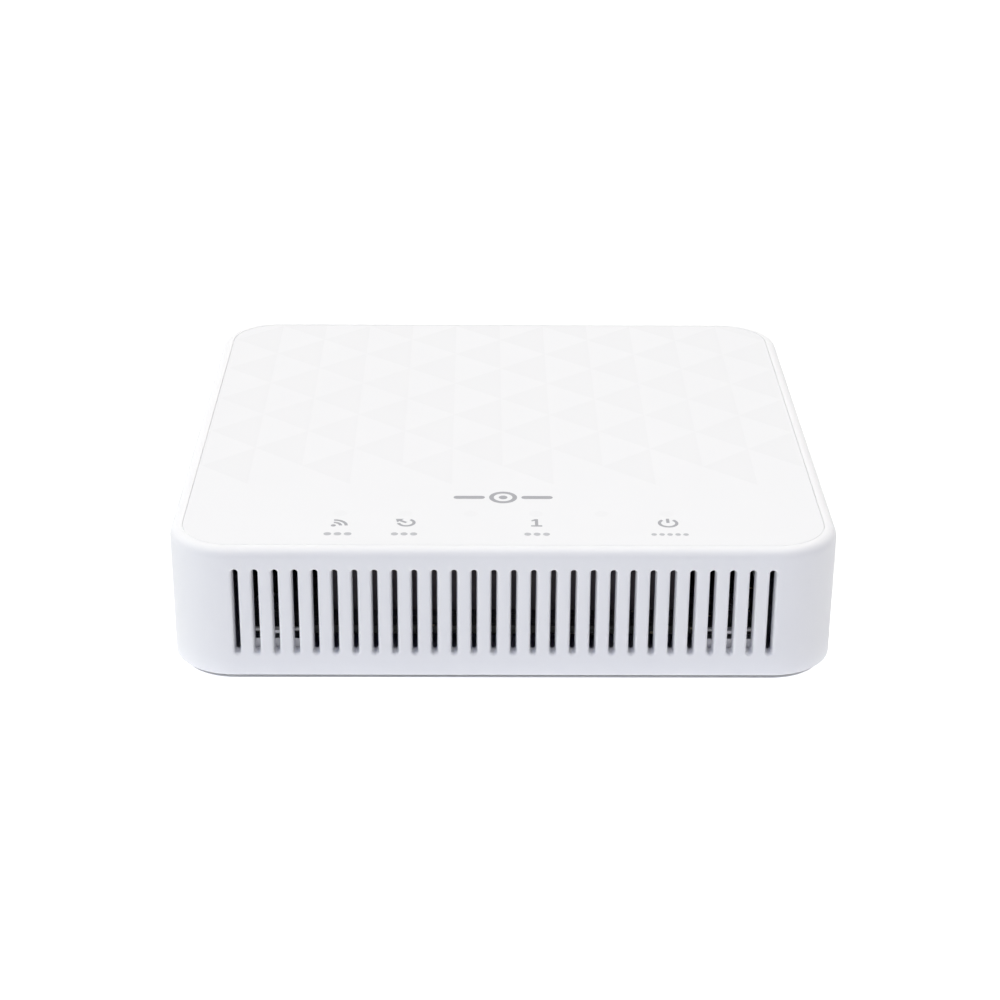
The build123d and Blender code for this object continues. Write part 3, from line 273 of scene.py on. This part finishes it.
def panel_finish(name):
    """Satin white with a pattern of matt facets, their base colour a little darker as painted shade for
    facets tilted away from the light. Over each light pocket the thin plastic reads darker.
    """
    n = Nodes(name)
    parts = n.add("ShaderNodeSeparateXYZ", {0: n.place}).outputs
    spot = light_spots(n, parts["X"], parts["Y"])
    facet = facet_mask(n, parts["X"], parts["Y"])
    slow = n.remap(n.noise(30.0, 2.0), 0.3, 0.7, 0.0, 1.0)
    grain = n.noise(3200.0, 2.0)
    base = n.blend(slow, tone(WHITE, 0.995), tone(WHITE, 1.005))
    # painted shade on the facets, standing in for their tilt away from the light
    base = n.blend(facet, base, tone(WHITE, FACET_PAINTED_SHADE))
    base = n.blend(n.math("MULTIPLY", spot, SPOT_STRENGTH), base, tone(WHITE, SPOT_SHADE))
    gloss = n.remap(n.noise(120.0, 3.0), 0.3, 0.7, 0.38, 0.4)
    gloss = n.math("ADD", gloss, n.math("MULTIPLY", facet, FACET_MATTNESS))
    return n.set(Base_Color=base, Roughness=gloss, Normal=n.bump(grain, 0.000003))


# ---------------------------------------------------------------- materials by record slot
def make_materials():
    return {
        "housing_white": moulded("housing_white", WHITE, 0.5, depth=0.000005, drift=0.006, shine=0.15),
        "panel_white": panel_finish("panel_white"),
        "foot_rubber": rubber("foot_rubber", (0.05, 0.05, 0.055)),
        "screw_steel": metal("screw_steel", (0.56, 0.57, 0.6), 0.3),
        "label_paper": label_paper("label_paper", (0.84, 0.84, 0.83)),
        "board_green": circuit_board("board_green", (0.1, 0.108, 0.098)),
        "chip_black": moulded("chip_black", (0.022, 0.022, 0.024), 0.5, grain=0.0001, drift=0.08),
        "pad_grey": rubber("pad_grey", (0.3, 0.32, 0.36)),
        "heatsink_aluminium": metal("heatsink_aluminium", (0.62, 0.63, 0.65), 0.34),
        "plastic_black": moulded("plastic_black", (0.035, 0.033, 0.035), 0.5, drift=0.08),
        # painted light: a lighter copy of the black plastic, standing in for the light inside the case
        "baffle_grey_painted_light": moulded("baffle_grey_painted_light", (0.21, 0.195, 0.205), 0.6, drift=0.05),
        "plastic_white": moulded("plastic_white", (0.75, 0.75, 0.72), 0.45),
        "can_metal": metal("can_metal", (0.74, 0.72, 0.68), 0.22),
        "ferrite": moulded("ferrite", (0.09, 0.09, 0.095), 0.7, grain=0.0003, depth=0.00002, drift=0.1),
        "capacitor_sleeve": metal("capacitor_sleeve", (0.66, 0.67, 0.7), 0.28, lines=(60.0, 60.0, 3000.0)),
        "passive_ceramic": moulded("passive_ceramic", (0.3, 0.21, 0.14), 0.55, drift=0.1),
        "clear_plastic": clear_plastic("clear_plastic", (0.95, 0.96, 0.97)),
        "shield_steel": metal("shield_steel", (0.68, 0.68, 0.69), 0.26),
        "contact_gold": metal("contact_gold", (0.93, 0.72, 0.32), 0.18),
        "contact_plated": metal("contact_plated", (0.75, 0.75, 0.76), 0.18),
        "button_grey": moulded("button_grey", (0.42, 0.44, 0.48), 0.32, drift=0.02, shine=0.7),
        "optical_green": moulded("optical_green", (0.02, 0.2, 0.085), 0.4, drift=0.03),
        "door_green": moulded("door_green", (0.025, 0.25, 0.1), 0.36, drift=0.03),
        "zirconia": moulded("zirconia", (0.83, 0.82, 0.78), 0.16, depth=0.000001),
        "fibre_yellow": moulded("fibre_yellow", (0.75, 0.5, 0.05), 0.38),
        "led_package": moulded("led_package", (0.78, 0.74, 0.58), 0.3),
    }


# pieces whose finish differs from the rest of their record slot. The light shade's black plastic is
# painted a lighter grey, as painted light for the light that fills the case inside.
OWN_FINISHES = {"light_shade": "baffle_grey_painted_light"}


def dress_cad_nodes(materials):
    for part in frame["record"]["subparts"]:
        mesh = frame["nodes"][part["node"]].data
        mesh.materials.clear()
        mesh.materials.append(materials[OWN_FINISHES.get(part["node"], part["material_slot"])])


# ---------------------------------------------------------------- shapes
def mesh_piece(name, verts, faces, material, smooth=False, body="case"):
    mesh = bpy.data.meshes.new(name)
    mesh.from_pydata([tuple(v) for v in verts], [], faces)
    mesh.validate()
    mesh.materials.append(material)
    for polygon in mesh.polygons:
        polygon.use_smooth = smooth
    piece = bpy.data.objects.new(name, mesh)
    bpy.context.scene.collection.objects.link(piece)
    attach(piece, body)
    return piece


def rounded_outline(low, high, radius, inset, steps=14):
    """Points of a rounded rectangle, anticlockwise, pulled in by inset."""
    radius -= inset
    centres = [
        (high.x - inset - radius, high.y - inset - radius),
        (low.x + inset + radius, high.y - inset - radius),
        (low.x + inset + radius, low.y + inset + radius),
        (high.x - inset - radius, low.y + inset + radius),
    ]
    points = []
    for quarter, (cx, cy) in enumerate(centres):
        for step in range(steps + 1):
            angle = math.radians(90 * (quarter + step / steps))
            points.append(Vector((cx + radius * math.cos(angle), cy + radius * math.sin(angle))))
    return points


def clip_convex(polygon, outline, inset=0.0):
    """The part of a convex polygon inside an anticlockwise convex outline pulled in by inset."""
    result = list(polygon)
    for a, b in zip(outline, outline[1:] + outline[:1]):
        along = (b - a).normalized()
        inward = Vector((-along.y, along.x))
        kept = []
        for p, q in zip(result, result[1:] + result[:1]):
            dp, dq = (p - a).dot(inward) - inset, (q - a).dot(inward) - inset
            if dp >= 0:
                kept.append(p)
            if (dp > 0) != (dq > 0) and abs(dp - dq) > 1e-12:
                kept.append(p.lerp(q, dp / (dp - dq)))
        result = kept
        if len(result) < 3:
            return []
    return result


PANEL_EDGE = 0.12 * MM
FACET_DEPTH = 0.004 * MM
FACET_STEP_W = 0.3 * MM
FACET_MARGIN = 0.5 * MM
FACET_COLUMNS = 6
FACET_ROWS = 5


def facet_triangles():
    """Left-pointing triangles in columns, every other column half a pitch along."""
    for column in range(-FACET_COLUMNS, FACET_COLUMNS):
        shift = 0.0 if column % 2 else FACET_PITCH / 2
        for row in range(-FACET_ROWS, FACET_ROWS):
            apex = Vector((column * FACET_COLUMN, FACET_APEX_Y + shift + row * FACET_PITCH))
            base_x = apex.x + FACET_COLUMN
            lower = Vector((base_x, apex.y - FACET_PITCH / 2))
            upper = Vector((base_x, apex.y + FACET_PITCH / 2))
            if lower.y > FACET_FRONT_Y:
                yield apex, [apex, lower, upper]


def make_panel(material):
    """The inlaid top panel as one closed mesh, its facets sunk by a few thousandths of a millimetre."""
    outline = rounded_outline(panel_low, panel_high, PANEL_R, PANEL_EDGE)
    field = clip_convex(
        [
            Vector((panel_low.x, FACET_FRONT_Y)),
            Vector((panel_high.x, FACET_FRONT_Y)),
            Vector((panel_high.x, FACET_REAR_Y)),
            Vector((panel_low.x, FACET_REAR_Y)),
        ],
        outline,
        FACET_MARGIN,
    )
    points, heights, edges = [], [], []

    def add_loop(loop, depth_at):
        start = len(points)
        points.extend(loop)
        heights.extend(TOP_Z - depth_at(p) for p in loop)
        edges.extend((start + i, start + (i + 1) % len(loop)) for i in range(len(loop)))

    add_loop(outline, lambda p: 0.0)
    for apex, triangle in facet_triangles():
        rim = clip_convex(triangle, field)
        floor = clip_convex(rim, rim, FACET_STEP_W) if rim else []
        if len(floor) < 3:
            continue
        add_loop(rim, lambda p: 0.0)
        add_loop(floor, lambda p: FACET_DEPTH * (p.x - apex.x) / FACET_COLUMN)
    flat, _, triangles, sources, _, _ = delaunay_2d_cdt(points, edges, [], 0, 1e-8)
    verts = [Vector((p.x, p.y, min(heights[i] for i in origin))) for p, origin in zip(flat, sources)]
    faces = [tuple(t) for t in triangles]

    # the edge: a narrow chamfer, the side and the underside
    ring = [min(range(len(flat)), key=lambda i: (flat[i] - p).length_squared) for p in outline]
    levels = [(0.0, TOP_Z - PANEL_EDGE), (0.0, panel_low.z)]
    for inset, z in levels:
        lower = [Vector((p.x, p.y, z)) for p in rounded_outline(panel_low, panel_high, PANEL_R, inset)]
        start = len(verts)
        verts.extend(lower)
        new_ring = list(range(start, start + len(lower)))
        for i in range(len(ring)):
            j = (i + 1) % len(ring)
            faces.append((ring[i], new_ring[i], new_ring[j], ring[j]))
        ring = new_ring
    faces.append(tuple(reversed(ring)))
    panel = mesh_piece("faceted_top_panel", verts, faces, material)
    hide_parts("top_panel")
    return panel


# ---------------------------------------------------------------- printed marks
INK_T = 0.012 * MM
INK_COLOUR = (0.39, 0.39, 0.41)
FAINT_INK_COLOUR = (0.5, 0.5, 0.52)
ICON_Y = CASE_MID_Y - 47.1 * MM
ICON_R = 1.7 * MM  # half the height of an icon
STROKE = 0.58 * MM
LABEL_Y = CASE_MID_Y - 51.9 * MM
LABEL_H = 1.25 * MM
LABEL_GAP = 0.42 * MM
EMBLEM_Y = CASE_MID_Y - 36.0 * MM
EMBLEM_RING_R = 2.15 * MM
EMBLEM_RING_W = 0.85 * MM
EMBLEM_DOT_R = 0.8 * MM
EMBLEM_BAR_X = 6.25 * MM
EMBLEM_BAR_L = 5.8 * MM
EMBLEM_BAR_H = 1.3 * MM
NEARLY_FULL_TURN = 359.9  # degrees; the hairline left open keeps the ring one plain polygon


def arc_band(cx, cy, radius, width, start, end, steps=40):
    """A band along an arc, in degrees, as one polygon."""
    turns = [math.radians(start + (end - start) * i / steps) for i in range(steps + 1)]
    far, near = radius + width / 2, radius - width / 2
    outer = [(cx + far * math.cos(t), cy + far * math.sin(t)) for t in turns]
    inner = [(cx + near * math.cos(t), cy + near * math.sin(t)) for t in turns]
    return outer + inner[::-1]


def capsule(cx, cy, length, height, steps=8):
    """A bar with round ends, lying along X."""
    radius, half = height / 2, (length - height) / 2
    right = [math.radians(-90 + 180 * i / steps) for i in range(steps + 1)]
    points = [(cx + half + radius * math.cos(t), cy + radius * math.sin(t)) for t in right]
    points += [(cx - half - radius * math.cos(t), cy - radius * math.sin(t)) for t in right]
    return points


def disc(cx, cy, radius, steps=28):
    turns = [2 * math.pi * i / steps for i in range(steps)]
    return [(cx + radius * math.cos(t), cy + radius * math.sin(t)) for t in turns]


def anticlockwise(polygon):
    pairs = zip(polygon, polygon[1:] + polygon[:1])
    doubled_area = sum(x1 * y2 - x2 * y1 for (x1, y1), (x2, y2) in pairs)
    return polygon if doubled_area > 0 else polygon[::-1]


def printed(name, polygons, z, material):
    """Flat ink shapes as thin closed prisms on a horizontal face."""
    verts, faces = [], []
    for polygon in map(anticlockwise, polygons):
        count, start = len(polygon), len(verts)
        verts += [(x, y, z) for x, y in polygon]
        verts += [(x, y, z + INK_T) for x, y in polygon]
        faces.append(tuple(start + i for i in reversed(range(count))))
        faces.append(tuple(start + count + i for i in range(count)))
        for i in range(count):
            j = (i + 1) % count
            faces.append((start + i, start + j, start + count + j, start + count + i))
    return mesh_piece(name, verts, faces, material)


def icon_link(cx, cy):
    """A dot with two waves: the optical link."""
    x, y = cx - 0.55 * ICON_R, cy - 0.75 * ICON_R
    waves = [arc_band(x, y, reach * ICON_R, STROKE, 0, 90, 20) for reach in (0.75, 1.35)]
    return [disc(x, y, STROKE * 0.8), *waves]


def icon_fault(cx, cy):
    """An open ring, with an arrow out through the opening: the signal is lost."""
    along, across = Vector((-0.78, 0.62)), Vector((0.62, 0.78))
    middle = Vector((cx + 0.15 * ICON_R, cy))
    tip = middle + along * 1.45 * ICON_R
    neck = middle + along * 0.8 * ICON_R
    head = [tip, neck + across * 0.55 * ICON_R, neck - across * 0.55 * ICON_R]
    shaft = [neck + across * STROKE / 2, neck - across * STROKE / 2]
    shaft += [middle - across * STROKE / 2, middle + across * STROKE / 2]
    arrow = [[tuple(p) for p in polygon] for polygon in (head, shaft)]
    return [arc_band(middle.x, cy, 0.82 * ICON_R, STROKE, 190, 420), *arrow]


def icon_one(cx, cy):
    """The numeral of the LAN channel."""
    top, low, half, foot = cy + 0.92 * ICON_R, cy - 0.92 * ICON_R, STROKE / 2, 1.0 * MM
    foot_top = low + STROKE * 0.9
    flag_x, flag_y = cx - 0.9 * MM, top - 0.55 * ICON_R
    stem = [(cx - half, foot_top), (cx + half, foot_top), (cx + half, top), (cx - half, top)]
    flag = [(flag_x, flag_y + STROKE * 0.7), (flag_x, flag_y), (cx - half, flag_y + STROKE * 0.4)]
    base = [(cx - foot, low), (cx + foot, low), (cx + foot, foot_top), (cx - foot, foot_top)]
    return [stem + flag, base]


def icon_power(cx, cy):
    """The standard stand-by symbol."""
    low, top, half = cy + 0.05 * ICON_R, cy + 1.1 * ICON_R, STROKE / 2
    bar = [(cx - half, low), (cx + half, low), (cx + half, top), (cx - half, top)]
    return [arc_band(cx, cy, 0.92 * ICON_R, STROKE, 128, 412), bar]


def label_row(cx, cy, count, width):
    """A row of pills, which stands in for a word."""
    pill = (width - (count - 1) * LABEL_GAP) / count
    first = cx - (width - pill) / 2
    return [capsule(first + i * (pill + LABEL_GAP), cy, pill, min(LABEL_H, pill)) for i in range(count)]


def make_prints(ink, faint_ink):
    # light: (icon, pills in its label, width of the label)
    legends = {
        0: (icon_link, 3, 5.0 * MM),
        1: (icon_fault, 3, 4.7 * MM),
        3: (icon_one, 3, 4.6 * MM),
        5: (icon_power, 5, 6.7 * MM),
    }
    icons, labels = [], []
    for light, (icon, pills, width) in legends.items():
        x = (light - (LED_COUNT - 1) / 2) * LED_PITCH
        icons += icon(x, ICON_Y)
        labels += label_row(x, LABEL_Y, pills, width)
    printed("indicator_icons", icons, TOP_Z, ink)
    printed("indicator_labels", labels, TOP_Z, faint_ink)
    ring = arc_band(0, EMBLEM_Y, EMBLEM_RING_R, EMBLEM_RING_W, 0, NEARLY_FULL_TURN, 72)
    bars = [capsule(side * EMBLEM_BAR_X, EMBLEM_Y, EMBLEM_BAR_L, EMBLEM_BAR_H) for side in (-1, 1)]
    printed("emblem", [ring, disc(0, EMBLEM_Y, EMBLEM_DOT_R), *bars], TOP_Z, ink)


def ink_finish(name, colour):
    n = Nodes(name)
    grain = n.noise(5200.0, 2.0)
    base = n.blend(n.remap(grain, 0.35, 0.65, 0.0, 1.0), tone(colour, 0.94), tone(colour, 1.06))
    gloss = n.remap(grain, 0.3, 0.7, 0.4, 0.5)
    return n.set(Base_Color=base, Roughness=gloss, Normal=n.bump(grain, 0.000002))


# ---------------------------------------------------------------- studio
FLOOR_SIZE = 8.0
FLOOR_GLOW = 0.31
FLOOR_COLOUR = (0.955, 0.96, 0.97)
# painted contact shadow: the floor's glow is off under the case's edge
SHADE_INSET = 1.1 * MM  # from the case's outline in to the dark part of the floor
SHADE_EDGE = 0.4 * MM
NEAR_GLOW = 0.62  # added at the case's outline, where the case blocks light from the floor
NEAR_REACH = 7.0 * MM
FAR_GLOW = 0.62  # added far away, where the soft boxes reach less
FAR_START = 0.7
FAR_END = 2.6
HORIZON_GLOW = 0.72
HORIZON_COLOUR = (0.93, 0.945, 1.0)
HORIZON_TOP = 0.22  # sine of the elevation up to which the surroundings are pale
SKY_GLOW = 0.1
SKY_COLOUR = (0.1, 0.2, 1.0)
SKY_START = 0.4
LIGHT_TARGET = Vector((0, 0, 10.0)) * MM
# name: (place, size, power, colour)
SOFTBOXES = {
    "overhead_softbox": ((-0.2, 0.35, 2.0), (3.0, 2.5), 70.0, (0.995, 0.975, 0.88)),
    "left_softbox": ((-2.2, -0.9, 0.5), (1.4, 1.0), 4.6, (0.8, 0.95, 0.75)),
    "front_left_softbox": ((-1.2, -1.9, 1.5), (1.2, 0.8), 5.2, (0.25, 0.35, 1.0)),
}


def floor_finish():
    """A pale glowing floor. Its glow is off under the case, a painted contact shadow, and it glows more
    close to the case and far away, painted light that fills in the case's shadow and the weaker reach of
    the soft boxes.
    """
    n = Nodes("studio_floor")
    mottle = n.remap(n.noise(6.0, 3.0), 0.3, 0.7, 0.0, 1.0)
    base = n.blend(mottle, (0.78, 0.78, 0.78, 1.0), (0.8, 0.8, 0.8, 1.0))
    parts = n.add("ShaderNodeSeparateXYZ", {0: n.place}).outputs
    sides = []
    for axis, low, high in ("X", housing_low.x, housing_high.x), ("Y", housing_low.y, housing_high.y):
        from_middle = n.math("ABSOLUTE", n.math("SUBTRACT", parts[axis], (low + high) / 2))
        sides.append(n.math("SUBTRACT", from_middle, (high - low) / 2 - CASE_CORNER_R))
    beyond = [n.math("MAXIMUM", side, 0.0) for side in sides]
    corner = n.length(*beyond)
    within = n.math("MINIMUM", n.math("MAXIMUM", sides[0], sides[1]), 0.0)
    outside = n.math("SUBTRACT", n.math("ADD", corner, within), CASE_CORNER_R)
    # painted light: extra glow near the case paints out the shadow the case throws on the floor
    full_glow = n.remap(outside, 0.0, NEAR_REACH, FLOOR_GLOW + NEAR_GLOW, FLOOR_GLOW, smooth=True)
    # painted contact shadow: the glow is switched off under the case
    lit = n.remap(outside, -SHADE_INSET - SHADE_EDGE, -SHADE_INSET, 0.0, 1.0, smooth=True)
    far_glow = n.remap(outside, FAR_START, FAR_END, 0.0, FAR_GLOW, smooth=True)
    glow = n.math("MULTIPLY", n.math("ADD", full_glow, far_glow), lit)
    return n.set(
        Base_Color=base,
        Roughness=0.9,
        Specular_IOR_Level=0.1,
        Emission_Color=(*FLOOR_COLOUR, 1.0),
        Emission_Strength=glow,
    )


def make_floor():
    half = FLOOR_SIZE / 2
    mesh = bpy.data.meshes.new("studio_floor")
    corners = [(-half, -half, 0), (half, -half, 0), (half, half, 0), (-half, half, 0)]
    mesh.from_pydata(corners, [], [(0, 1, 2, 3)])
    mesh.materials.append(floor_finish())
    floor = bpy.data.objects.new("studio_floor", mesh)
    bpy.context.scene.collection.objects.link(floor)


def area_light(name, place, size, power, colour):
    data = bpy.data.lights.new(name, "AREA")
    data.shape = "RECTANGLE"
    data.size, data.size_y = size
    data.energy = power
    data.color = colour
    light = bpy.data.objects.new(name, data)
    turn = (LIGHT_TARGET - Vector(place)).to_track_quat("-Z", "Y").to_matrix().to_4x4()
    light.matrix_world = Matrix.Translation(Vector(place)) @ turn
    bpy.context.scene.collection.objects.link(light)


def make_lights():
    world = bpy.data.worlds.new("studio_world")
    bpy.context.scene.world = world
    world.use_nodes = True
    n = Nodes(world=world)
    height = n.add("ShaderNodeSeparateXYZ", {0: n.direction}).outputs["Z"]
    above = n.remap(height, HORIZON_TOP, SKY_START, 0.0, 1.0, smooth=True)
    horizon = [channel * HORIZON_GLOW for channel in HORIZON_COLOUR]
    sky = [channel * SKY_GLOW for channel in SKY_COLOUR]
    n.put(n.background.inputs["Color"], n.blend(above, (*horizon, 1.0), (*sky, 1.0)))
    for name, (place, size, power, colour) in SOFTBOXES.items():
        area_light(name, place, size, power, colour)


bpy.context.scene.view_settings.view_transform = "Standard"
make_camera()
materials = make_materials()
dress_cad_nodes(materials)
make_panel(materials["panel_white"])
make_prints(ink_finish("grey_ink", INK_COLOUR), ink_finish("faint_grey_ink", FAINT_INK_COLOUR))
make_floor()
make_lights()
